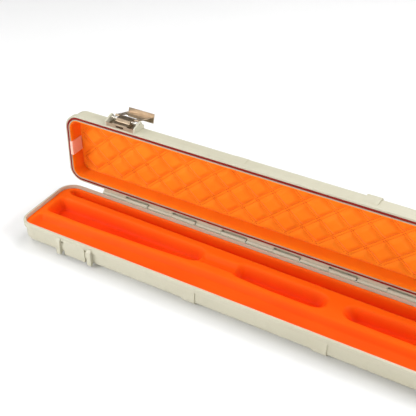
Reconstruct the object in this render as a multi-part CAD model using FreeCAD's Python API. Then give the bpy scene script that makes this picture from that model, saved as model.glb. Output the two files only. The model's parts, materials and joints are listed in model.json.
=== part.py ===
import FreeCAD, Part
import math
import os

# Hinged hard case for a two-piece cue: a moulded tub and lid, a foam tray with cue
# grooves, a quilted lid lining, a rubber seal, a knuckle hinge and two draw latches.
# Millimetres. X runs along the case, -Y is the latch side, +Y the hinge side, +Z is up.
# Every piece is drawn with the lid shut, and the lid's pieces are then swung open.

V = FreeCAD.Vector

# ---------------------------------------------------------------- driving dimensions
FRONT_Y = -98.15         # where the base's front wall stands, so that the open case is centred
RIM_Z = 38.0             # parting plane above the floor
SKID = 1.0               # how far the base stands off the floor on its cross ribs
LID_GAP = 0.3            # air between the shut rims
LID_DEPTH = 33.0         # lid, from its rim to its outer face
OPEN_ANGLE = 90.8        # lid opening, from shut to its stop

# plan outlines: (half length, front y, back y, front corner radius, back corner radius)
BASE_FLANGE = (426.5, -2.0, 130.3, 23.0, 29.0)
BASE_LIP = (422.6, 2.4, 127.1, 18.6, 24.6)
BASE_BODY = (422.5, 0.0, 128.3, 20.0, 26.0)
BASE_CAVITY = (419.9, 2.6, 125.7, 17.4, 23.4)
LID_FLANGE = (423.3, 1.3, 128.7, 27.0, 24.0)
LID_BODY = (419.0, 2.9, 127.1, 24.0, 21.0)
LID_CAVITY = (416.3, 5.5, 124.5, 21.4, 18.4)
LID_MOUTH_INSET = 8.2    # inner edge of the lid's rim, inside its flange

FLANGE_H = 10.0
WALL = 2.6
BASE_EDGE_R = 12.0       # rounding along the base's lower edge
LID_EDGE_R = 10.0
TRAY_DROP = 4.9          # tray face below the base rim
TRAY_GAP = 0.3           # air round the tray's lip
SEAL_INSET = 4.8         # seal centre line inside the lid flange
SEAL_R = 1.9
SEAL_PROUD = 0.9         # how far the seal stands out of its groove
LINER_OUT = LID_MOUTH_INSET + 0.2
LINER_T = 2.6
PAD_DEPTH = 24.0         # face of the quilted pad below the lid's rim
BOARD_T = 1.5
CLIP_Y = (52.0, 78.0)    # where the clips lie across the case

HINGE_Y = 134.3
HINGE_Z = RIM_Z - 0.7
KNUCKLE_R = 3.4
PIN_R = 1.5
KNUCKLE_START = -353.0
KNUCKLE_PITCH = 45.9
KNUCKLES = 15
HINGE_END = 353.0
KNUCKLE_GAP = 0.3
KNUCKLE_SLACK = 1.7      # extra air at the right end of each base knuckle
LEDGE = (2.6, 4.6, 6.0)  # hinge ledge: reach past the pin's axis, then its lower and upper height
RUN = 0.05               # running clearance of a pin in its bore

RIB_X = 105.0            # cross ribs, either side of the middle
RIB_W = 22.0
LATCH_X = 312.8          # latches, either side of the middle

# keepers
KEEPER_RIVET_X = (-12.0, 12.0)
KEEPER_RIVET_Z = 20.0
KEEPER_TOP = RIM_Z - 4.5
KEEPER_FACE_Y = -3.2     # outer face of the catch block
KEEPER_HALF = 20.0       # half width of the catch block
POST_X = 30.1            # middle of each guide post
POST_HALF = 3.8
POST_FACE_Y = -6.5
RIVET_R = 1.6

# heights in the lid while it is shut
LID_Z = RIM_Z + LID_GAP
LID_TOP = LID_Z + LID_DEPTH
PAD_BACK = LID_TOP - WALL - 0.2
PAD_FRONT = LID_Z + PAD_DEPTH
CATCH_Z = LID_Z - 32.4   # lower edge of the catch block, which the hook pulls on

# draw latch. Local axes on the lid's front: u along the case, d up from the rim, h outwards.
LEVER_PIVOT = (15.5, 9.3)    # (d, h) of the lever's pin
HOOK_PIVOT = (24.0, 9.3)     # (d, h) of the hook's pin, with the lever thrown back
HOOK_DROOP = 17.4            # how far the undone hook hangs, from the line of its lever
SMALL_PIN_R = 1.25
BARREL_R = 2.1
LEVER_HALF = 13.4            # half width of the lever's centre block
HOOK_ARM = (14.4, 22.5)      # inner and outer face of each hook arm
HOOK_REACH = 40.0            # hook pin to the inner face of the cross lip
SHEET = 1.4                  # thickness of the pressed hook
LIP_HALF = 24.9
LIP_H = (-8.6, 7.0)          # cross lip, below and above the hook pin
CHEEK = (25.9, 28.8)         # inner and outer face of each bracket cheek
PLATE_HALF = 25.6
PLATE_RIVET_X = (-17.0, 17.0)
PLATE_RIVET_D = 14.0
WINDOW_HALF = 7.1

# tray hollows: (x0, x1, front y at x0, back y, floor z, plan radius, floor radius, front y at x1)
TRAY_TOP = RIM_Z - TRAY_DROP
CUE_SLOT = (-411.0, 411.0, 105.5, 123.5, 14.0, 7.0, 6.0, 93.5)
CUE_GROOVE = (-414.0, 414.0, 8.5, 41.0, 24.5, 9.0, 6.0, 8.5)
POCKETS = [
    (-412.0, -111.0, 50.0, 92.0, 14.0, 12.0, 9.0, 54.0),
    (-69.0, 87.0, 54.5, 90.0, 14.0, 10.0, 9.0, 53.5),
    (111.0, 412.0, 53.0, 87.0, 14.0, 12.0, 9.0, 50.0),
]
SADDLE = (-125.0, -55.0, 59.0, 86.0, 25.0, 8.0, 6.0, 59.0)


# ---------------------------------------------------------------- helpers
def outline(plan, inset=0.0):
    """Closed wire of a rounded rectangle at z = 0."""
    half, y0, y1, front_r, back_r = plan
    half, y0, y1 = half - inset, y0 + inset, y1 - inset
    f, b = front_r - inset, back_r - inset
    f_mid = f * (1.0 - math.sqrt(0.5))
    b_mid = b * (1.0 - math.sqrt(0.5))
    mids = [
        V(half - f_mid, y0 + f_mid, 0),
        V(half - b_mid, y1 - b_mid, 0),
        V(-half + b_mid, y1 - b_mid, 0),
        V(-half + f_mid, y0 + f_mid, 0),
    ]
    ends = [
        (V(half - f, y0, 0), V(half, y0 + f, 0)),
        (V(half, y1 - b, 0), V(half - b, y1, 0)),
        (V(-half + b, y1, 0), V(-half, y1 - b, 0)),
        (V(-half, y0 + f, 0), V(-half + f, y0, 0)),
    ]
    edges = []
    for i in range(4):
        a, b = ends[i]
        edges.append(Part.Arc(a, mids[i], b).toShape())
        edges.append(Part.LineSegment(b, ends[(i + 1) % 4][0]).toShape())
    return Part.Wire(edges)


def slab(plan, z0, z1, inset=0.0):
    """Rounded rectangle extruded from z0 to z1."""
    face = Part.Face(outline(plan, inset))
    face.translate(V(0, 0, z0))
    return face.extrude(V(0, 0, z1 - z0))


def edges_at(shape, z):
    """Edges that lie wholly at height z."""
    level = []
    for edge in shape.Edges:
        if abs(edge.BoundBox.ZMin - z) < 1e-4 and abs(edge.BoundBox.ZMax - z) < 1e-4:
            level.append(edge)
    return level


def box(x0, x1, y0, y1, z0, z1):
    return Part.makeBox(x1 - x0, y1 - y0, z1 - z0, V(x0, y0, z0))


def rod(x0, x1, y, z, r):
    return Part.makeCylinder(r, x1 - x0, V(x0, y, z), V(1, 0, 0))


def bore_y(x, y, z, r, length):
    """Cylinder along +Y that starts at y."""
    return Part.makeCylinder(r, length, V(x, y, z), V(0, 1, 0))


def prism_x(points, x0, x1):
    """Polygon in the YZ plane, extruded along X."""
    pts = [V(x0, y, z) for y, z in points]
    return Part.Face(Part.makePolygon(pts + pts[:1])).extrude(V(x1 - x0, 0, 0))


def fuse(shapes):
    return shapes[0].multiFuse(shapes[1:]).removeSplitter()


def pocket(x0, x1, y0, y1, z0, corner, floor_r, y0_end=None):
    """Cutting tool for a tray pocket: rounded in plan and along its floor."""
    y0_end = y0 if y0_end is None else y0_end
    pts = [V(x0, y0, z0), V(x1, y0_end, z0), V(x1, y1, z0), V(x0, y1, z0)]
    tool = Part.Face(Part.makePolygon(pts + pts[:1])).extrude(V(0, 0, RIM_Z - z0))
    upright = [e for e in tool.Edges if e.BoundBox.ZLength > 1.0]
    tool = tool.makeFillet(corner, upright)
    return tool.makeFillet(floor_r, edges_at(tool, z0))


def knuckle_spans():
    """(start, end, belongs to lid) of each knuckle along the hinge."""
    spans = []
    for i in range(KNUCKLES):
        start = KNUCKLE_START + i * KNUCKLE_PITCH
        end = HINGE_END if i == KNUCKLES - 1 else start + KNUCKLE_PITCH
        on_lid = i % 2 == 0
        slack = 0.0 if on_lid else KNUCKLE_SLACK
        spans.append((start + KNUCKLE_GAP, end - KNUCKLE_GAP - slack, on_lid))
    return spans


# ---------------------------------------------------------------- base
def base_shell():
    """Tub with a stepped rim flange, two cross ribs to stand on and hinge knuckles."""
    flange = slab(BASE_FLANGE, RIM_Z - FLANGE_H, RIM_Z)
    flange = flange.makeFillet(1.6, edges_at(flange, RIM_Z) + edges_at(flange, RIM_Z - FLANGE_H))
    body = slab(BASE_BODY, SKID, RIM_Z - 6.0)
    body = body.makeFillet(BASE_EDGE_R, edges_at(body, SKID))
    ribs = []
    for side in (-1, 1):
        rib = box(side * RIB_X - RIB_W / 2, side * RIB_X + RIB_W / 2, -1.6, 129.9, 0.0, RIM_Z - 5.0)
        along = [e for e in rib.Edges if e.BoundBox.XLength > 1.0 and e.BoundBox.ZMax < 1.0]
        ribs.append(rib.makeFillet(BASE_EDGE_R, along))
    lower = slab(BASE_CAVITY, SKID + WALL, RIM_Z - 5.9)
    lower = lower.makeFillet(BASE_EDGE_R - WALL, edges_at(lower, SKID + WALL))
    upper = slab(BASE_LIP, RIM_Z - 6.0, RIM_Z + 1.0)
    shell = fuse([flange, body] + ribs)
    for x0, x1, on_lid in knuckle_spans():
        if not on_lid:
            web = box(x0, x1, 128.6, HINGE_Y, HINGE_Z - KNUCKLE_R, HINGE_Z)
            shell = shell.fuse([rod(x0, x1, HINGE_Y, HINGE_Z, KNUCKLE_R), web])
    shell = shell.cut(fuse([lower, upper]))
    shell = shell.cut(rod(KNUCKLE_START, HINGE_END, HINGE_Y, HINGE_Z, PIN_R))
    for side in (-1, 1):
        for x in KEEPER_RIVET_X:
            shell = shell.cut(bore_y(side * LATCH_X + x, -5.0, KEEPER_RIVET_Z, RIVET_R, 12.0))
    return shell.removeSplitter()


def hinge_pin():
    return rod(KNUCKLE_START + 1.0, HINGE_END - 1.0, HINGE_Y, HINGE_Z, PIN_R)


def cue_tray():
    """Moulded foam tray: a lip on the base's step and a block that fills the tub."""
    block = slab(BASE_CAVITY, SKID + WALL + 0.2, TRAY_TOP - 0.8, 0.2)
    block = block.makeFillet(BASE_EDGE_R - WALL, edges_at(block, SKID + WALL + 0.2))
    tray = block.fuse(slab(BASE_LIP, TRAY_TOP - 0.9, TRAY_TOP, TRAY_GAP)).removeSplitter()
    for hollow in [CUE_SLOT, CUE_GROOVE, SADDLE] + POCKETS:
        x0, x1, y0, y1, z0, corner, floor_r, y0_end = hollow
        tray = tray.cut(pocket(x0, x1, y0, y1, z0, corner, floor_r, y0_end))
    for side in (-1, 1):
        at = side * LATCH_X
        tray = tray.cut(box(at - 17.0, at + 17.0, 0.0, 5.4, 8.0, KEEPER_RIVET_Z + 5.0))
    return tray.removeSplitter()


def keeper(side):
    """Catch block between two guide posts, seated on the base's front wall."""
    cx = side * LATCH_X
    back_y = BASE_FLANGE[1] - 0.05
    step_z = RIM_Z - FLANGE_H - 0.05
    step = [(back_y, step_z), (0.0, step_z)]
    block = [
        (0.0, CATCH_Z), (KEEPER_FACE_Y, CATCH_Z), (KEEPER_FACE_Y, KEEPER_TOP - 3.0), (back_y, KEEPER_TOP),
    ]
    foot = [(0.0, 8.0), (-4.2, 4.0), (POST_FACE_Y, 5.5), (POST_FACE_Y, KEEPER_TOP - 3.5)]
    head = [(-2.6, KEEPER_TOP + 1.0), (back_y, KEEPER_TOP + 1.0)]
    bar = [(0.0, 14.0), (-2.0, 14.0), (-2.0, 26.0), (0.0, 26.0)]
    solids = [
        prism_x(block + step, cx - KEEPER_HALF, cx + KEEPER_HALF),
        prism_x(bar, cx - POST_X, cx + POST_X),
    ]
    for sign in (-1, 1):
        x0 = cx + sign * POST_X
        solids.append(prism_x(foot + head + step, x0 - POST_HALF, x0 + POST_HALF))
    body = fuse(solids)
    wall = slab(BASE_BODY, SKID, RIM_Z)
    wall = wall.makeFillet(BASE_EDGE_R, edges_at(wall, SKID))
    body = body.cut(wall)
    for x in KEEPER_RIVET_X:
        body = body.cut(bore_y(cx + x, -2.4, KEEPER_RIVET_Z, RIVET_R, 12.0))
    return body


def keeper_rivets():
    """Two rivets through the base wall into each keeper, heads inside."""
    solids = []
    for side in (-1, 1):
        for x in KEEPER_RIVET_X:
            shank = bore_y(side * LATCH_X + x, -2.4, KEEPER_RIVET_Z, RIVET_R, WALL + 2.4)
            head = bore_y(side * LATCH_X + x, WALL, KEEPER_RIVET_Z, 2 * RIVET_R, 1.2)
            solids.append(shank.fuse(head).removeSplitter())
    return Part.makeCompound(solids)


# ---------------------------------------------------------------- lid, drawn shut
def lid_rib(x, proud, top_proud):
    """Cross rib on the lid's front wall, wrapping over its outer face when proud there."""
    y0 = LID_BODY[1] - proud
    rib = box(x - RIB_W / 2, x + RIB_W / 2, y0, 60.0, LID_Z + FLANGE_H - 2.0, LID_TOP + top_proud)
    upper = edges_at(rib, LID_TOP + top_proud)
    front_edge = [e for e in upper if e.BoundBox.YMax < y0 + 1.0]
    rib = rib.makeFillet(LID_EDGE_R, front_edge)
    inside = box(-LID_BODY[0], LID_BODY[0], LID_BODY[1] + 12.0, LID_BODY[2], 0.0, LID_TOP - 1.0)
    return rib.cut(inside)


def lid_shell():
    """Lid with a grooved rim, two cross ribs, hinge knuckles and the ledge behind them."""
    flange = slab(LID_FLANGE, LID_Z, LID_Z + FLANGE_H)
    flange = flange.makeFillet(1.2, edges_at(flange, LID_Z) + edges_at(flange, LID_Z + FLANGE_H))
    body = slab(LID_BODY, LID_Z + 5.0, LID_TOP)
    body = body.makeFillet(LID_EDGE_R, edges_at(body, LID_TOP))
    solids = [flange, body, lid_rib(-RIB_X, 0.9, -0.5), lid_rib(RIB_X, 2.0, 1.8)]
    for x0, x1, on_lid in knuckle_spans():
        if on_lid:
            solids.append(rod(x0, x1, HINGE_Y, HINGE_Z, KNUCKLE_R))
            solids.append(box(x0, x1, 127.2, HINGE_Y, LID_Z, HINGE_Z + KNUCKLE_R))
    reach, low, high = LEDGE
    solids.append(box(KNUCKLE_START, HINGE_END, 127.2, HINGE_Y + reach, HINGE_Z + low, HINGE_Z + high))
    shell = fuse(solids)
    cavity = slab(LID_CAVITY, LID_Z + 6.0, LID_TOP - WALL)
    cavity = cavity.makeFillet(LID_EDGE_R - WALL, edges_at(cavity, LID_TOP - WALL))
    mouth = slab(LID_FLANGE, LID_Z - 1.0, LID_Z + 6.1, LID_MOUTH_INSET)
    groove = slab(LID_FLANGE, LID_Z - 1.0, LID_Z + 3.2, SEAL_INSET - SEAL_R - 0.2)
    groove = groove.cut(slab(LID_FLANGE, LID_Z - 2.0, LID_Z + 4.0, SEAL_INSET + SEAL_R + 0.2))
    bead = slab(LID_FLANGE, LID_Z - 0.7, LID_Z + 0.5, LID_MOUTH_INSET - 1.1)
    bead = bead.cut(slab(LID_FLANGE, LID_Z - 2.0, LID_Z + 1.0, LID_MOUTH_INSET))
    shell = shell.fuse(bead).cut(fuse([cavity, mouth])).cut(groove)
    shell = shell.cut(rod(KNUCKLE_START - 1.0, HINGE_END + 1.0, HINGE_Y, HINGE_Z, PIN_R + RUN))
    for side in (-1, 1):
        for x in PLATE_RIVET_X:
            shell = shell.cut(bore_y(side * LATCH_X + x, -1.0, LID_Z + PLATE_RIVET_D, RIVET_R, 8.0))
    return shell.removeSplitter()


def lid_seal():
    """Rubber cord seal in the rim groove, standing slightly proud."""
    ring = slab(LID_FLANGE, LID_Z - SEAL_PROUD, LID_Z + 3.0, SEAL_INSET - SEAL_R)
    ring = ring.cut(slab(LID_FLANGE, LID_Z - 2.0, LID_Z + 4.0, SEAL_INSET + SEAL_R))
    return ring.makeFillet(1.5, edges_at(ring, LID_Z - SEAL_PROUD))


def lid_room():
    """Space inside the lid shell that its lining has to fit, rounded along the top edges."""
    room = slab(LID_CAVITY, LID_Z + 5.0, PAD_BACK, 0.2)
    room = room.makeFillet(LID_EDGE_R - WALL, edges_at(room, PAD_BACK))
    return fuse([room, slab(LID_FLANGE, LID_Z, LID_Z + 5.5, LINER_OUT)])


def lid_liner():
    """Padded side lining: a ring wall from the rim to the quilted pad."""
    ring = slab(LID_FLANGE, LID_Z + 0.2, PAD_BACK, LINER_OUT)
    ring = ring.cut(slab(LID_FLANGE, LID_Z - 1.0, PAD_BACK + 1.0, LINER_OUT + LINER_T))
    return ring.common(lid_room())


def quilt_pad():
    """Plain slab that the quilted lining stands for."""
    return slab(LID_FLANGE, PAD_FRONT, PAD_BACK - BOARD_T - 0.1, LINER_OUT + LINER_T + 0.3)


def pad_board():
    """Stiff board that the pad is upholstered on."""
    board = slab(LID_FLANGE, PAD_BACK - BOARD_T, PAD_BACK, LINER_OUT + LINER_T + 0.3)
    return board.common(lid_room())


def liner_clip(side):
    """Moulded clip over the end of the lining: a lip on the rim and a leg to the pad."""
    x_rim = side * (LID_FLANGE[0] - 7.2)
    x_in = side * (LID_FLANGE[0] - LINER_OUT - LINER_T)
    x_leg = x_in - side * 1.4
    x_back = x_in - side * 0.1
    y0, y1 = CLIP_Y
    lip = box(min(x_rim, x_leg), max(x_rim, x_leg), y0, y1, LID_Z - 1.6, LID_Z - 0.75)
    leg = box(min(x_leg, x_back), max(x_leg, x_back), y0, y1, LID_Z - 1.6, PAD_FRONT - 0.5)
    return fuse([lip, leg])


# ---------------------------------------------------------------- draw latch, drawn undone
def yz(d, h):
    """Point on the latch, from (d, h) to case (y, z)."""
    return (LID_FLANGE[1] - h, LID_Z + d)


def block(cx, u0, u1, d0, d1, h0, h1):
    y1, z0 = yz(d0, h0)
    y0, z1 = yz(d1, h1)
    return box(cx + u0, cx + u1, y0, y1, z0, z1)


def latch_rod(cx, u0, u1, pivot, r):
    y, z = yz(*pivot)
    return rod(cx + u0, cx + u1, y, z, r)


def profile(cx, u0, u1, points):
    return prism_x([yz(d, h) for d, h in points], cx + u0, cx + u1)


def latch_bracket(side):
    """Moulded cheeks joined by a foot bar, seated on the lid's front wall."""
    cx = side * LATCH_X
    inner, outer = CHEEK
    cheek = [
        (0.8, -1.0), (0.8, 7.0), (17.5, 12.8), (20.5, 12.6), (24.0, 6.5), (28.0, 3.0), (28.0, -2.5),
    ]
    bar = [(22.0, -2.5), (22.0, 0.9), (28.0, 0.9), (28.0, -2.5)]
    body = fuse([
        profile(cx, -outer, -inner, cheek),
        profile(cx, inner, outer, cheek),
        profile(cx, -outer, outer, bar),
    ])
    flange = slab(LID_FLANGE, LID_Z - 1.0, LID_Z + FLANGE_H + 0.05)
    wall = slab(LID_BODY, LID_Z - 1.0, LID_TOP)
    wall = wall.makeFillet(LID_EDGE_R, edges_at(wall, LID_TOP))
    body = body.cut(flange).cut(wall)
    return body.cut(latch_rod(cx, -outer - 1.0, outer + 1.0, LEVER_PIVOT, SMALL_PIN_R))


def latch_plate(side):
    """Pressed steel base plate, folded up at the front with a raised middle, riveted to the lid."""
    cx = side * LATCH_X
    sheet = block(cx, -PLATE_HALF, PLATE_HALF, 0.8, 21.6, 0.05, 1.2)
    front = block(cx, -PLATE_HALF, PLATE_HALF, 0.8, 1.9, 1.2, 6.4)
    top = profile(cx, -LEVER_HALF, LEVER_HALF, [(0.8, 5.0), (0.8, 6.4), (2.6, 7.1), (8.3, 7.1), (8.3, 5.0)])
    foot = block(cx, -PLATE_HALF, PLATE_HALF, FLANGE_H + 0.3, 21.6, -1.5, 0.1)
    window = block(cx, -WINDOW_HALF, WINDOW_HALF, 0.0, 3.0, 1.6, 4.6)
    plate = fuse([sheet, front, top, foot]).cut(window)
    for x in PLATE_RIVET_X:
        plate = plate.cut(bore_y(cx + x, -8.0, LID_Z + PLATE_RIVET_D, RIVET_R, 12.0))
    return plate


def latch_rivets():
    """Two rivets through each latch plate and the lid's wall."""
    solids = []
    z = LID_Z + PLATE_RIVET_D
    for side in (-1, 1):
        for x in PLATE_RIVET_X:
            at = side * LATCH_X + x
            shank = bore_y(at, LID_FLANGE[1] - 1.9, z, RIVET_R, 7.3)
            head = bore_y(at, LID_FLANGE[1] - 2.0, z, 2.8, 0.8)
            tail = bore_y(at, LID_CAVITY[1], z, 2.8, 0.9)
            solids.append(fuse([shank, head, tail]))
    return Part.makeCompound(solids)


def lever_pin(side):
    return latch_rod(side * LATCH_X, -CHEEK[1] + 0.5, CHEEK[1] - 0.5, LEVER_PIVOT, SMALL_PIN_R)


def latch_lever(side):
    """Lever: a block that turns on the lever pin between the cheeks and carries the hook's pin."""
    cx = side * LATCH_X
    body = [
        (9.4, 6.8), (9.1, 8.0), (9.5, 8.6), (14.0, 11.2), (25.4, 11.2), (26.7, 10.0), (26.7, 6.4),
        (25.2, 5.0), (12.2, 5.0),
    ]
    lever = profile(cx, -LEVER_HALF, LEVER_HALF, body)
    lever = lever.cut(latch_rod(cx, -CHEEK[0], CHEEK[0], LEVER_PIVOT, SMALL_PIN_R + RUN))
    return lever.cut(latch_rod(cx, -CHEEK[0], CHEEK[0], HOOK_PIVOT, SMALL_PIN_R))


def hook_pin(side):
    return latch_rod(side * LATCH_X, -HOOK_ARM[1] - 1.1, HOOK_ARM[1] + 1.1, HOOK_PIVOT, SMALL_PIN_R)


def latch_hook(side):
    """Hook frame: two arms on the hook pin, a cross plate and a cross lip, hanging undone."""
    cx = side * LATCH_X
    d, h = HOOK_PIVOT
    inner, outer = HOOK_ARM
    sheet_h = (h - 0.2, h - 0.2 + SHEET)
    solids = [
        block(cx, -outer, outer, d + 17.0, d + HOOK_REACH + 0.2, *sheet_h),
        block(cx, -LIP_HALF, LIP_HALF, d + HOOK_REACH, d + HOOK_REACH + SHEET, h + LIP_H[0], h + LIP_H[1]),
    ]
    for u0, u1 in ((-outer, -inner), (inner, outer)):
        solids.append(block(cx, u0, u1, d, d + 18.0, *sheet_h))
        solids.append(latch_rod(cx, u0, u1, HOOK_PIVOT, BARREL_R))
    hook = fuse(solids).cut(latch_rod(cx, -LIP_HALF, LIP_HALF, HOOK_PIVOT, SMALL_PIN_R + RUN))
    y, z = yz(d, h)
    hook.rotate(V(cx, y, z), V(1, 0, 0), -HOOK_DROOP)
    return hook


# ---------------------------------------------------------------- output
def place_base(shape):
    placed = shape.copy()
    placed.translate(V(0, FRONT_Y, 0))
    return placed


def place_lid(shape):
    placed = shape.copy()
    placed.rotate(V(0, HINGE_Y, HINGE_Z), V(1, 0, 0), -OPEN_ANGLE)
    return place_base(placed)


def pieces():
    base = {
        "base_shell": base_shell(),
        "cue_tray": cue_tray(),
        "keeper_left": keeper(-1),
        "keeper_right": keeper(1),
        "keeper_rivets": keeper_rivets(),
        "hinge_pin": hinge_pin(),
    }
    lid = {
        "lid_shell": lid_shell(),
        "lid_seal": lid_seal(),
        "lid_liner": lid_liner(),
        "quilt_pad": quilt_pad(),
        "pad_board": pad_board(),
        "latch_rivets": latch_rivets(),
    }
    for side, name in ((-1, "left"), (1, "right")):
        lid["liner_clip_" + name] = liner_clip(side)
        lid["latch_bracket_" + name] = latch_bracket(side)
        lid["latch_plate_" + name] = latch_plate(side)
        lid["lever_pin_" + name] = lever_pin(side)
        lid["latch_lever_" + name] = latch_lever(side)
        lid["hook_pin_" + name] = hook_pin(side)
        lid["latch_hook_" + name] = latch_hook(side)
    placed = {name: place_base(shape) for name, shape in base.items()}
    placed.update({name: place_lid(shape) for name, shape in lid.items()})
    return placed


def main():
    os.makedirs("parts", exist_ok=True)
    whole = FreeCAD.BoundBox()
    for name, shape in pieces().items():
        shape.exportStep("parts/" + name + ".step")
        whole.add(shape.BoundBox)
        print("%-20s solids %d valid %s" % (name, len(shape.Solids), shape.isValid()))
    print("box", whole)


main()
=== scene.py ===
import json
import math

import bmesh
import bpy
import numpy as np
from mathutils import Matrix, Vector


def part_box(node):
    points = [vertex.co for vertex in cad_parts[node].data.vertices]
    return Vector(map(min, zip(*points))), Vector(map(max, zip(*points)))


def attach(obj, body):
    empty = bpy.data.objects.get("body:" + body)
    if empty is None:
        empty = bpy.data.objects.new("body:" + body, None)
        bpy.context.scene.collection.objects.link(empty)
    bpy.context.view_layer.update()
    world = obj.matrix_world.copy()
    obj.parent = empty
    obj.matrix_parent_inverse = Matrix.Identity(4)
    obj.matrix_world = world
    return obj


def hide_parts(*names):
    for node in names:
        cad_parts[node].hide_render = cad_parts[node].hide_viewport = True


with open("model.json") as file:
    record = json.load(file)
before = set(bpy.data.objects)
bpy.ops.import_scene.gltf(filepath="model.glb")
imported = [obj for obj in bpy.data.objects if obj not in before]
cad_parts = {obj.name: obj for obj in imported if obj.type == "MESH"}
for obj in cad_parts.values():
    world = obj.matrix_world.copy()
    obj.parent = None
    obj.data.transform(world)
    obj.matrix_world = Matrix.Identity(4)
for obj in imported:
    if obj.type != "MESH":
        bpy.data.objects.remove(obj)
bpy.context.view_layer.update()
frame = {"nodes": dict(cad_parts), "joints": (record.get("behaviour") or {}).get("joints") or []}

# Looks of a hinged cue case. Shapes are drawn in case millimetres with the lid shut: x runs
# along the case from its middle, y from the base's front wall to the hinge, z up from the floor.
# to_base and to_lid put them in the frame, in metres, the lid's swung open on its hinge.

MM = 0.001
JOINTS = {joint["name"]: joint for joint in frame["joints"]}
HINGE = Vector(JOINTS["lid_hinge"]["pos_m"])
OPEN_ANGLE = math.radians(JOINTS["lid_hinge"]["range_deg"][1])
FLANGE_PROUD = 2.0       # the base's rim stands this far out of its wall
HINGE_DROP = 0.7         # the hinge's axis below the base's rim
LID_GAP = 0.3            # air between the shut rims
TRAY_DROP = 4.9          # the tray's face below the base's rim
FRONT_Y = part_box("base_shell")[0].y / MM + FLANGE_PROUD
RIM_Z = HINGE.z / MM + HINGE_DROP
LID_Z = RIM_Z + LID_GAP
TRAY_TOP = RIM_Z - TRAY_DROP

# plan outlines: (half length, front y, back y, front corner radius, back corner radius)
TRAY_PLAN = (422.2, 2.8, 126.7, 18.2, 24.2)
LID_PLAN = (423.3, 1.3, 128.7, 27.0, 24.0)
PAD_INSET = 11.05        # edge of the quilted pad, inside the lid's rim


def to_base(points):
    """Case millimetres to frame metres."""
    return (np.asarray(points, float) + (0.0, FRONT_Y, 0.0)) * MM


def to_lid(points):
    """Case millimetres, lid shut, to frame metres with the lid open."""
    shut = to_base(points) - np.array(HINGE)
    turn = np.array(Matrix.Rotation(-OPEN_ANGLE, 3, "X"))
    return shut @ turn.T + np.array(HINGE)


# ---------------------------------------------------------------- mesh helpers
def make_object(name, verts, faces):
    """Smooth-shaded object with its faces turned outwards."""
    mesh = bpy.data.meshes.new(name)
    mesh.from_pydata(np.asarray(verts).tolist(), [], faces)
    bm = bmesh.new()
    bm.from_mesh(mesh)
    bmesh.ops.recalc_face_normals(bm, faces=bm.faces)
    bm.to_mesh(mesh)
    bm.free()
    mesh.polygons.foreach_set("use_smooth", [True] * len(mesh.polygons))
    obj = bpy.data.objects.new(name, mesh)
    bpy.context.scene.collection.objects.link(obj)
    return obj


def finish_piece(obj, body, material, slot, *nodes):
    """Gives a piece its body and material, and hides the CAD nodes it stands for. slot is not used."""
    obj.data.materials.append(material)
    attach(obj, body)
    if nodes:
        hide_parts(*nodes)
    return obj


def grid_faces(rows, cols):
    """Quads of a rows x cols grid of vertices."""
    i = np.arange(rows * cols).reshape(rows, cols)
    quads = np.stack([i[:-1, :-1], i[:-1, 1:], i[1:, 1:], i[1:, :-1]], -1)
    return quads.reshape(-1, 4).tolist()


def grid_loop(rows, cols):
    """Indices of a grid's outer vertices, once round."""
    i = np.arange(rows * cols).reshape(rows, cols)
    return np.concatenate([i[0, :-1], i[:-1, -1], i[-1, :0:-1], i[:0:-1, 0]])


def grid_solid(name, top, rings):
    """Closed mesh: a grid of points, then rings round its edge, the last one capped."""
    rows, cols = top.shape[:2]
    verts = [top.reshape(-1, 3)]
    faces = grid_faces(rows, cols)
    above = grid_loop(rows, cols)
    count = rows * cols
    for ring in rings:
        verts.append(ring)
        below = np.arange(count, count + len(ring))
        count += len(ring)
        faces += np.stack([above, below, np.roll(below, -1), np.roll(above, -1)], -1).tolist()
        above = below
    faces.append(above.tolist())
    return make_object(name, np.concatenate(verts), faces)


def ring_solid(name, rings):
    """Closed band: equal rings of points joined in turn, the last one to the first."""
    n = len(rings[0])
    faces = []
    for k in range(len(rings)):
        a = np.arange(n) + k * n
        b = np.arange(n) + (k + 1) % len(rings) * n
        faces += np.stack([a, b, np.roll(b, -1), np.roll(a, -1)], -1).tolist()
    return make_object(name, np.concatenate(rings), faces)


def plan_grid(plan, across, along, inset):
    """x and y of a grid on a rounded rectangle. across and along run from -1 to 1."""
    half, y0, y1, front_r, back_r = plan
    half, y0, y1 = half - inset, y0 + inset, y1 - inset
    deep = (y1 - y0) / 2
    x, y = np.meshgrid(across * half, along * deep)
    r = np.where(y < 0, front_r, back_r) - inset
    a = np.clip((np.abs(x) - (half - r)) / r, 0, 1)
    b = np.clip((np.abs(y) - (deep - r)) / r, 0, 1)
    corner = (a > 0) & (b > 0)
    # the square to quarter disc map, which keeps both straight sides where they are
    x = np.where(corner, np.sign(x) * (half - r + r * a * np.sqrt(1 - b * b / 2)), x)
    y = np.where(corner, np.sign(y) * (deep - r + r * b * np.sqrt(1 - a * a / 2)), y)
    return x, y + (y0 + y1) / 2


def plan_loop(plan, inset, step, arc_steps=14):
    """Points once round a rounded rectangle, inset from its edge."""
    half, y0, y1, front_r, back_r = plan
    f, b = front_r, back_r
    corners = [
        (half - f, y0 + f, f, -90), (half - b, y1 - b, b, 0),
        (b - half, y1 - b, b, 90), (f - half, y0 + f, f, 180),
    ]
    points = []
    for k, (cx, cy, r, start) in enumerate(corners):
        for i in range(arc_steps + 1):
            angle = math.radians(start + 90 * i / arc_steps)
            points.append((cx + (r - inset) * math.cos(angle), cy + (r - inset) * math.sin(angle)))
        nx, ny, nr, turn = corners[(k + 1) % 4]
        turn = math.radians(turn)
        end = (nx + (nr - inset) * math.cos(turn), ny + (nr - inset) * math.sin(turn))
        last = points[-1]
        pieces = max(1, round(math.dist((cx, cy), (nx, ny)) / step))
        for i in range(1, pieces):
            t = i / pieces
            points.append((last[0] + (end[0] - last[0]) * t, last[1] + (end[1] - last[1]) * t))
    return np.array(points)


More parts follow.
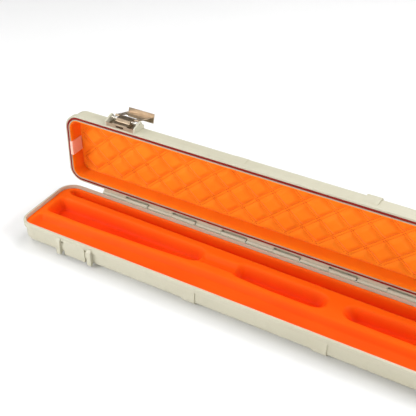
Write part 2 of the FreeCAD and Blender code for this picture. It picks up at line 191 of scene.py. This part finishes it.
def plan_edge(plan, x, y, inset):
    """Distance in from a rounded rectangle's edge."""
    half, y0, y1, front_r, back_r = plan
    middle = (y0 + y1) / 2
    r = np.where(y < middle, front_r, back_r) - inset
    a = half - inset - np.abs(x)
    b = (y1 - y0) / 2 - inset - np.abs(y - middle)
    rounded = r - np.hypot(np.maximum(r - a, 0), np.maximum(r - b, 0))
    return np.where((a < r) & (b < r), rounded, np.minimum(a, b))


def smoothstep(t):
    t = np.clip(t, 0, 1)
    return t * t * (3 - 2 * t)


# ---------------------------------------------------------------- materials
def linear(rgb):
    """0-255 display colour to the shader's linear values."""
    return tuple(((c / 255 + 0.055) / 1.055) ** 2.4 if c > 10 else c / 255 / 12.92 for c in rgb)


class Nodes:
    """Short calls for building one material's node tree."""

    def __init__(self, name):
        self.material = bpy.data.materials.new(name)
        self.material.use_nodes = True
        self.tree = self.material.node_tree
        self.shader = self.tree.nodes["Principled BSDF"]
        self.where = self.add("ShaderNodeTexCoord").outputs["Object"]

    def add(self, kind, inputs=None, **settings):
        node = self.tree.nodes.new(kind)
        for key, value in settings.items():
            setattr(node, key, value)
        for key, value in (inputs or {}).items():
            if isinstance(value, bpy.types.NodeSocket):
                self.tree.links.new(value, node.inputs[key])
            else:
                node.inputs[key].default_value = value
        return node

    def noise(self, scale, detail=2.0, stretch=(1, 1, 1)):
        where = self.add("ShaderNodeMapping", {"Vector": self.where, "Scale": stretch}).outputs[0]
        inputs = {"Vector": where, "Scale": scale, "Detail": detail}
        return self.add("ShaderNodeTexNoise", inputs).outputs[0]

    def ramp(self, value, low, high, start=0.0, end=1.0):
        """Value between start and end, spread from low to high."""
        inputs = {"Value": value, "From Min": start, "From Max": end, "To Min": low, "To Max": high}
        return self.add("ShaderNodeMapRange", inputs).outputs[0]

    def mix(self, share, first, second):
        """Colour mix: share is a number or a socket, and each colour is a triple or a socket."""
        node = self.add("ShaderNodeMix", data_type="RGBA")
        for index, value in ((0, share), (6, first), (7, second)):
            socket = node.inputs[index]
            if isinstance(value, bpy.types.NodeSocket):
                self.tree.links.new(value, socket)
            else:
                socket.default_value = value if isinstance(value, float) else (*value, 1.0)
        return node.outputs[2]

    def bump(self, height, distance, strength=1.0, normal=None):
        inputs = {"Height": height, "Distance": distance, "Strength": strength}
        if normal is not None:
            inputs["Normal"] = normal
        return self.add("ShaderNodeBump", inputs).outputs[0]

    def output(self, **inputs):
        for key, value in inputs.items():
            socket = self.shader.inputs[key.replace("_", " ")]
            if isinstance(value, bpy.types.NodeSocket):
                self.tree.links.new(value, socket)
            else:
                socket.default_value = value
        return self.material


def moulded_plastic(name, colour, stained, roughness):
    """Fine-textured moulded plastic with faint flow marks and handling marks."""
    n = Nodes(name)
    flow = n.ramp(n.noise(9.0, 3.0, (0.5, 3.0, 3.0)), 0.0, 1.0, 0.35, 0.7)
    marks = n.ramp(n.noise(60.0, 6.0), 0.0, 0.35, 0.55, 0.75)
    base = n.mix(flow, linear(colour), linear(stained))
    darker = tuple(0.86 * c for c in linear(stained))
    tone = n.mix(marks, base, darker)
    grain = n.bump(n.noise(2600.0, 2.0), 0.00004, 0.35)
    normal = n.bump(n.noise(26.0, 2.0), 0.0006, 0.12, grain)
    rough = n.ramp(n.noise(45.0, 4.0), roughness - 0.06, roughness + 0.1, 0.3, 0.7)
    return n.output(Base_Color=tone, Roughness=rough, Normal=normal, IOR=1.46)


def tray_foam():
    """Satin moulded orange foam, with painted shade: redder and darker the lower it lies in the
    hollows.
    """
    n = Nodes("tray_orange")
    cloud = n.ramp(n.noise(14.0, 3.0, (0.6, 1.6, 1.0)), 0.0, 1.0, 0.35, 0.65)
    height = n.add("ShaderNodeSeparateXYZ", {0: n.where}).outputs["Z"]
    # painted shade: the lower the foam lies, the more of the darker red colour it gets; the cloud adds
    # a random mottle of that colour on top
    low = n.ramp(height, 0.8, 0.0, 13.5 * MM, TRAY_TOP * MM)
    share = n.add("ShaderNodeMath", {0: low, 1: n.ramp(cloud, 0.0, 0.2)}, operation="ADD").outputs[0]
    tone = n.mix(share, linear(TRAY_COLOUR), linear(TRAY_SHADE_AND_MOTTLE))
    pores = n.bump(n.noise(3200.0, 3.0), 0.00005, 0.4)
    normal = n.bump(n.noise(40.0, 2.0), 0.0006, 0.15, pores)
    rough = n.ramp(n.noise(70.0, 3.0), 0.5, 0.64, 0.3, 0.7)
    return n.output(Base_Color=tone, Roughness=rough, Normal=normal, Specular_IOR_Level=0.1)


def woven_fabric(name, colour, shade, sheen):
    """Plain weave: two crossed wave textures at thread pitch, with uneven dye and painted shade
    between the threads.
    """
    n = Nodes(name)
    threads = []
    for axis in ("X", "Y", "Z"):
        wave = n.add("ShaderNodeTexWave", {"Vector": n.where, "Scale": 420.0, "Distortion": 0.4},
                     wave_type="BANDS", bands_direction=axis)
        threads.append(wave.outputs["Fac"])
    pair = n.add("ShaderNodeMath", {0: threads[0], 1: threads[1]}, operation="MULTIPLY").outputs[0]
    weave = n.add("ShaderNodeMath", {0: pair, 1: threads[2]}, operation="MAXIMUM").outputs[0]
    dye = n.ramp(n.noise(24.0, 4.0), 0.0, 1.0, 0.3, 0.7)
    tone = n.mix(dye, linear(colour), linear(shade))
    # painted shade: a darker, redder copy of the second colour where the weave dips between threads
    red, green, blue = linear(shade)
    tone = n.mix(n.ramp(weave, 0.22, 0.0), tone, (0.95 * red, 0.78 * green, 0.7 * blue))
    normal = n.bump(weave, 0.00012, 0.35)
    normal = n.bump(n.noise(160.0, 3.0), 0.0005, 0.05, normal)
    return n.output(Base_Color=tone, Roughness=n.ramp(dye, 0.62, 0.74), Normal=normal,
                    Specular_IOR_Level=0.2, Sheen_Weight=sheen, Sheen_Roughness=0.4)


def rubber():
    """Matt dark red rubber with a faint bloom."""
    n = Nodes("seal_rubber_red")
    bloom = n.ramp(n.noise(90.0, 4.0), 0.0, 1.0, 0.35, 0.7)
    tone = n.mix(bloom, linear(SEAL_COLOUR), linear(SEAL_BLOOM))
    normal = n.bump(n.noise(900.0, 3.0), 0.0001, 0.3)
    rough = n.ramp(bloom, 0.55, 0.68)
    return n.output(Base_Color=tone, Roughness=rough, Normal=normal, Specular_IOR_Level=0.25)


def brushed_steel(name, colour, dark, roughness):
    """Plated steel with fine brushing along the case and faint handling marks."""
    n = Nodes(name)
    brush = n.noise(30.0, 3.0, (4.0, 240.0, 240.0))
    smear = n.ramp(n.noise(120.0, 4.0), 0.0, 1.0, 0.4, 0.7)
    tone = n.mix(smear, linear(colour), linear(dark))
    rough = n.ramp(brush, roughness - 0.08, roughness + 0.12, 0.25, 0.75)
    normal = n.bump(brush, 0.00004, 0.5)
    return n.output(Base_Color=tone, Roughness=rough, Normal=normal, Metallic=1.0)


CREAM = (200, 196, 176)
CREAM_STAIN = (194, 189, 167)
TRAY_COLOUR = (249, 102, 10)
# darker red: painted shade low in the hollows, and a random mottle
TRAY_SHADE_AND_MOTTLE = (240, 58, 2)
QUILT_COLOUR = (253, 143, 22)
QUILT_SHADE = (250, 132, 16)
LINER_COLOUR = (255, 140, 10)
LINER_SHADE = (253, 128, 7)
THREAD_COLOUR = (226, 88, 10)
SEAL_COLOUR = (128, 18, 10)
SEAL_BLOOM = (140, 30, 20)
CLIP_COLOUR = (248, 208, 190)
CLIP_SHADE = (240, 198, 178)
PLATED_COLOUR = (177, 158, 135)
PLATED_DARK = (160, 142, 120)
PIN_COLOUR = (214, 208, 198)
PIN_DARK = (190, 184, 172)
RIVET_COLOUR = (196, 190, 180)
RIVET_DARK = (170, 164, 152)
BOARD_COLOUR = (120, 112, 104)
BOARD_DARK = (104, 98, 92)
FLOOR_LOW = (0.86, 0.86, 0.86)
FLOOR_HIGH = (0.88, 0.88, 0.88)


# ---------------------------------------------------------------- tray
# hollow: x range, front edge and back edge as (x, y) points, floor z, wall run at the sides,
# at the left end and at the right end, plan corner radius
TRAY_FLOOR = 13.0        # no hollow goes lower than this
HOLLOWS = [
    dict(x=(-409, 409), front=[(-409, 105.8), (409, 93.5)], back=[(-409, 125.2), (409, 125.2)],
         floor=13.5, side=7.5, ends=(12, 12), corner=9),
    dict(x=(-415, 415), front=[(-415, 5.5), (415, 5.5)],
         back=[(-415, 42), (-275, 45), (-80, 50), (60, 46), (415, 44)],
         floor=24.0, side=12, ends=(9, 9), corner=11),
    dict(x=(-412, -118), front=[(-412, 48), (-330, 47.5), (-200, 51), (-118, 56)],
         back=[(-412, 95), (-118, 93)], floor=14.0, side=12, ends=(9, 20), corner=14),
    dict(x=(-130, -50), front=[(-130, 60), (-50, 60)], back=[(-130, 86), (-50, 86)],
         floor=26.0, side=9, ends=(10, 10), corner=4),
    dict(x=(-72, 88), front=[(-72, 57), (0, 52.5), (88, 52)], back=[(-72, 91), (88, 90)],
         floor=14.0, side=12, ends=(16, 20), corner=15),
    dict(x=(109, 413), front=[(109, 53), (413, 48)], back=[(109, 88), (413, 91)],
         floor=14.0, side=12, ends=(18, 30), corner=15),
]


def hollow_depth(hollow, x, y):
    """How far a hollow goes below the tray face at x, y."""
    x0, x1 = hollow["x"]
    front = np.interp(x, *zip(*hollow["front"]))
    back = np.interp(x, *zip(*hollow["back"]))
    left, right = (hollow["side"] / run for run in hollow["ends"])
    a = np.minimum((x - x0) * left, (x1 - x) * right)
    b = np.minimum(y - front, back - y)
    r = hollow["corner"]
    rounded = r - np.hypot(np.maximum(r - a, 0), np.maximum(r - b, 0))
    inside = np.where((a < r) & (b < r), rounded, np.minimum(a, b))
    return (TRAY_TOP - hollow["floor"]) * smoothstep(inside / hollow["side"])


def tray():
    """Moulded tray: a fine grid pressed down by every hollow."""
    across = np.linspace(-1, 1, 521)
    along = np.linspace(-1, 1, 101)
    x, y = plan_grid(TRAY_PLAN, across, along, 2.2)
    depth = np.zeros_like(x)
    for hollow in HOLLOWS:
        cut = hollow_depth(hollow, x, y)
        # soft union, so that hollows that meet do so with a rounded edge
        depth = np.where((depth > 0) & (cut > 0), (depth ** 6 + cut ** 6) ** (1 / 6), depth + cut)
    depth = np.minimum(depth, TRAY_TOP - TRAY_FLOOR)
    top = np.stack([x, y, TRAY_TOP - depth], -1)
    rings = []
    # rounded lip, then the block below it: (inset, drop from the face)
    edge = ((1.4, 0.12), (0.7, 0.4), (0.2, 0.8), (0.2, 1.0), (3.2, 1.2), (3.2, 18.0), (7.0, 28.0))
    for inset, drop in edge:
        rx, ry = plan_grid(TRAY_PLAN, across, along, inset)
        ring = np.stack([rx, ry, np.full_like(rx, TRAY_TOP - drop)], -1).reshape(-1, 3)
        rings.append(to_base(ring[grid_loop(*rx.shape)]))
    obj = grid_solid("moulded_tray", to_base(top), rings)
    return finish_piece(obj, "base", tray_foam(), "tray_foam", "cue_tray")


# ---------------------------------------------------------------- quilt
CELL_X = 51.35           # stitch lattice: width of a diamond and half its height
CELL_Y = 22.8
ROW_Y = 115.9            # a row of crossings, near the hinge side
QUILT_GROOVE = LID_Z + 27.4
QUILT_EDGE = LID_Z + 25.0
QUILT_BACK = LID_Z + 28.6
PUFF = 4.0               # how far a diamond's middle stands above its seams
SEAM_RISE = 8.0          # run from a seam up to full height
EDGE_ROLL = 7.0          # run over which the face meets the pad's edge
WELT = 1.0               # welt between the twin lines, and how deep the stitches pull
WELT_WIDTH = 1.1
PULL = 0.5
PULL_WIDTH = 0.9
SEAM_OFFSET = 2.0        # each line of the twin stitching, from the seam's middle
STITCH_PITCH = 3.1
STITCH_LENGTH = 2.2
STITCH_R = 0.5
STITCH_PROUD = 0.12
STITCH_MARGIN = 3.0      # no stitches nearer the pad's edge than this
SEAMS_EACH_WAY = 12      # more than cross the pad from either side of its middle
STITCHES_EACH_WAY = 60


def seam_distance(x, y):
    """Distance to the nearest seam of either slant, in millimetres."""
    u = x / CELL_X
    v = (ROW_Y - y) / (2 * CELL_Y)
    scale = 1 / math.hypot(1 / CELL_X, 1 / (2 * CELL_Y))
    return np.abs((u + v) % 1.0 - 0.5) * scale, np.abs((u - v) % 1.0 - 0.5) * scale


def quilt_height(x, y):
    """Face of the quilt: diamonds puffed between twin-stitched seams with a welt in the middle."""
    a, b = seam_distance(x, y)
    near = np.minimum(a, b)
    rise_a = smoothstep((a - SEAM_OFFSET) / SEAM_RISE)
    rise_b = smoothstep((b - SEAM_OFFSET) / SEAM_RISE)
    puff = np.sqrt(np.clip(rise_a * rise_b, 0, 1))
    welt = np.exp(-(near / WELT_WIDTH) ** 2)
    pull = np.exp(-((near - SEAM_OFFSET) / PULL_WIDTH) ** 2)
    face = QUILT_GROOVE - PUFF * puff - WELT * welt + PULL * pull
    crown = smoothstep(plan_edge(LID_PLAN, x, y, PAD_INSET) / EDGE_ROLL)
    return QUILT_EDGE + (face - QUILT_EDGE) * crown


def quilt():
    """Quilted pad: a fine grid for the face and straight sides down to the board."""
    across = np.linspace(-1, 1, 741)
    along = np.linspace(-1, 1, 103)
    x, y = plan_grid(LID_PLAN, across, along, PAD_INSET)
    top = np.stack([x, y, quilt_height(x, y)], -1)
    rings = []
    for height in (QUILT_EDGE + 0.6, QUILT_BACK):
        ring = np.stack([x, y, np.full_like(x, height)], -1).reshape(-1, 3)
        rings.append(to_lid(ring[grid_loop(*x.shape)]))
    obj = grid_solid("quilted_pad", to_lid(top), rings)
    cloth = woven_fabric("quilt_cloth", QUILT_COLOUR, QUILT_SHADE, 0.15)
    finish_piece(obj, "lid", cloth, "quilt", "quilt_pad")
    return obj


def stitch_mesh(name, middles, directions):
    """Many stitches as one mesh, each a six-sided bar with pointed ends."""
    up = np.array((0.0, 0.0, 1.0))
    sides = 6
    angles = np.arange(sides) * math.tau / sides
    verts, faces = [], []
    for middle, along in zip(middles, directions):
        side = np.cross(along, up)
        ring = [STITCH_R * (math.cos(t) * side + math.sin(t) * up) for t in angles]
        tip, shoulder = along * STITCH_LENGTH / 2, along * STITCH_LENGTH * 0.3
        first = len(verts) + 1
        second = first + sides
        verts.append(middle - tip)
        verts += [middle - shoulder + offset for offset in ring]
        verts += [middle + shoulder + offset for offset in ring]
        verts.append(middle + tip)
        for i in range(sides):
            j = (i + 1) % sides
            faces.append((first - 1, first + j, first + i))
            faces.append((first + i, first + j, second + j, second + i))
            faces.append((second + sides, second + i, second + j))
    return make_object(name, to_lid(np.array(verts)), faces)


def quilt_stitches():
    """Twin rows of stitches along every seam of the quilt."""
    middles, directions = [], []
    run = math.hypot(CELL_X, 2 * CELL_Y)
    for slant in (-1, 1):
        along = np.array((slant * CELL_X, 2 * CELL_Y, 0.0)) / run
        across = np.array((along[1], -along[0], 0.0))
        for k in range(-SEAMS_EACH_WAY, SEAMS_EACH_WAY + 1):
            start = np.array(((k + 0.5) * CELL_X, ROW_Y, 0.0))
            for offset in (-SEAM_OFFSET, SEAM_OFFSET):
                for i in range(-STITCHES_EACH_WAY, STITCHES_EACH_WAY + 1):
                    point = start + across * offset + along * i * STITCH_PITCH
                    x, y, _ = point
                    if plan_edge(LID_PLAN, x, y, PAD_INSET) > STITCH_MARGIN:
                        point[2] = quilt_height(x, y) - STITCH_PROUD
                        middles.append(point)
                        directions.append(along)
    obj = stitch_mesh("quilt_stitching", middles, directions)
    thread = woven_fabric("quilt_thread", THREAD_COLOUR, THREAD_COLOUR, 0.1)
    return finish_piece(obj, "lid", thread, "quilt")


# ---------------------------------------------------------------- liner
LINER_RIB_PITCH = 2.2
LINER_RIB = 0.16         # how far each rib stands out
LINER_ARC_STEPS = 40


def liner_loop(inset):
    """Points once round the lining, four to each rib."""
    return plan_loop(LID_PLAN, inset, LINER_RIB_PITCH / 4, LINER_ARC_STEPS)


def liner():
    """Side lining: rolled edge at the rim, a sewn groove, then the ribbed side band."""
    # (inset, depth from the rim, how strong the ribs are)
    profile = [
        (8.5, 2.0, 0), (8.45, 0.6, 0), (8.8, -0.15, 0), (9.5, -0.5, 0), (10.2, -0.25, 0),
        (10.75, 0.5, 0), (10.8, 1.3, 0), (10.2, 2.1, 0), (10.2, 2.5, 0), (10.8, 3.2, 0.3),
        (11.05, 4.4, 1), (11.15, 8.0, 1), (11.15, 12.0, 1), (11.15, 16.0, 1), (11.15, 20.0, 1),
        (11.15, 24.0, 0.6), (11.1, 26.5, 0), (8.7, 26.5, 0), (8.6, 12.0, 0),
    ]
    steps = np.linalg.norm(np.diff(liner_loop(11.0), axis=0), axis=1)
    along = np.concatenate([[0.0], np.cumsum(steps)])
    wave = LINER_RIB * np.cos(along * math.tau / LINER_RIB_PITCH)
    rings = []
    for inset, depth, ribbed in profile:
        points = liner_loop(inset)
        inwards = liner_loop(inset + 1.0) - points
        points = points + inwards * (ribbed * wave)[:, None]
        rings.append(to_lid(np.column_stack([points, np.full(len(points), LID_Z + depth)])))
    obj = ring_solid("side_lining", rings)
    cloth = woven_fabric("liner_cloth", LINER_COLOUR, LINER_SHADE, 0.1)
    return finish_piece(obj, "lid", cloth, "lining", "lid_liner")


# ---------------------------------------------------------------- the CAD pieces that stay
SOFTENED = ("keeper_left", "keeper_right", "latch_bracket", "latch_plate", "latch_lever", "latch_hook")
SOFT_EDGE = 0.3


def dress_cad_pieces():
    """Materials for the CAD pieces, and slightly rounded edges on the small ones."""
    shell = moulded_plastic("case_cream", CREAM, CREAM_STAIN, 0.42)
    clip = moulded_plastic("clip_frosted", CLIP_COLOUR, CLIP_SHADE, 0.3)
    bright = brushed_steel("pin_bright", PIN_COLOUR, PIN_DARK, 0.22)
    plated = brushed_steel("latch_plated", PLATED_COLOUR, PLATED_DARK, 0.36)
    rivet = brushed_steel("rivet_plain", RIVET_COLOUR, RIVET_DARK, 0.3)
    board = moulded_plastic("board_grey", BOARD_COLOUR, BOARD_DARK, 0.7)
    dress = {
        "base_shell": shell, "lid_shell": shell, "lid_seal": rubber(), "pad_board": board,
        "hinge_pin": bright, "keeper_rivets": rivet, "latch_rivets": rivet,
    }
    for side in ("left", "right"):
        dress["keeper_" + side] = shell
        dress["latch_bracket_" + side] = shell
        dress["liner_clip_" + side] = clip
        for node in ("latch_plate_", "latch_lever_", "latch_hook_"):
            dress[node + side] = plated
        for node in ("lever_pin_", "hook_pin_"):
            dress[node + side] = bright
    for name, material in dress.items():
        obj = frame["nodes"][name]
        obj.data.materials.clear()
        obj.data.materials.append(material)
        if name.startswith(SOFTENED):
            bevel = obj.modifiers.new("soft_edges", "BEVEL")
            bevel.width = SOFT_EDGE * MM
            bevel.segments = 2
            bevel.limit_method = "ANGLE"
            bevel.angle_limit = math.radians(40)


# ---------------------------------------------------------------- stage, light and camera
def stage():
    """Plain pale floor."""
    size = 6.0
    mesh = bpy.data.meshes.new("floor")
    corners = [(-size, -size, 0), (size, -size, 0), (size, size, 0), (-size, size, 0)]
    mesh.from_pydata(corners, [], [(0, 1, 2, 3)])
    floor = bpy.data.objects.new("floor", mesh)
    bpy.context.scene.collection.objects.link(floor)
    n = Nodes("floor_white")
    tone = n.mix(n.noise(3.0), FLOOR_LOW, FLOOR_HIGH)
    mesh.materials.append(n.output(Base_Color=tone, Roughness=0.9))


def area_light(name, place, target, size, power, spread=math.pi):
    """Round soft light at a place, aimed at a target."""
    data = bpy.data.lights.new(name, "AREA")
    data.shape = "DISK"
    data.size = size
    data.energy = power
    data.spread = spread
    lamp = bpy.data.objects.new(name, data)
    lamp.location = place
    lamp.rotation_mode = "QUATERNION"
    lamp.rotation_quaternion = (Vector(target) - Vector(place)).to_track_quat("-Z", "Y")
    bpy.context.scene.collection.objects.link(lamp)


# studio lights: name, place, size in metres, watts
LIGHT_TARGET = (-0.15, 0.02, 0.05)
LIGHTS = [
    ("top", (0.0, -0.01, 1.8), 1.2, 3.2),
    ("top_back", (0.0, 1.19, 1.6), 1.2, 20.2),
    ("top_left", (-1.6, 0.19, 1.4), 1.2, 9.8),
    ("front_left", (-1.3, -1.41, 1.2), 1.2, 25.7),
    ("top_right", (1.7, 0.29, 1.4), 1.2, 30.1),
    ("front_low", (0.2, -2.01, 0.35), 0.8, 12.7),
]
OUTER_FLOOR = [(-4, 0), (-3, 3), (0, 4), (3, 3), (4, 0), (3, -3), (0, -4), (-3, -3)]


def lights():
    world = bpy.data.worlds.new("studio")
    world.use_nodes = True
    nodes, links = world.node_tree.nodes, world.node_tree.links
    background = nodes["Background"]
    background.inputs["Color"].default_value = (1.0, 1.0, 1.0, 1.0)
    # a dim sky for the lighting, which looks white where the camera sees it past the floor
    seen = nodes.new("ShaderNodeLightPath").outputs["Is Camera Ray"]
    strength = nodes.new("ShaderNodeMapRange")
    strength.inputs["To Min"].default_value = 0.06
    links.new(seen, strength.inputs["Value"])
    links.new(strength.outputs[0], background.inputs["Strength"])
    bpy.context.scene.world = world
    for name, place, size, power in LIGHTS:
        area_light(name, place, LIGHT_TARGET, size, power)
    # these reach only the outer floor, so that it stays pale from every side
    for i, (x, y) in enumerate(OUTER_FLOOR):
        area_light("outer_floor_%d" % i, (x, y, 2.4), (x, y, 0.0), 2.4, 40.0, math.radians(80))
    bpy.context.scene.view_settings.view_transform = "Standard"


def camera():
    """Looks down on the left end from the front right."""
    azimuth, elevation = math.radians(29.87), math.radians(35.85)
    target = Vector((-0.1754, 0.08335, 0.038))
    distance = 1.3249
    level = math.cos(elevation)
    back = Vector((math.sin(azimuth) * level, -math.cos(azimuth) * level, math.sin(elevation)))
    data = bpy.data.cameras.new("camera")
    data.lens = 69.19
    data.sensor_width = 36.0
    obj = bpy.data.objects.new("camera", data)
    obj.location = target + back * distance
    obj.rotation_mode = "QUATERNION"
    obj.rotation_quaternion = (-back).to_track_quat("-Z", "Y")
    bpy.context.scene.collection.objects.link(obj)
    bpy.context.scene.camera = obj


camera()
stage()
lights()
tray()
quilt()
quilt_stitches()
liner()
dress_cad_pieces()
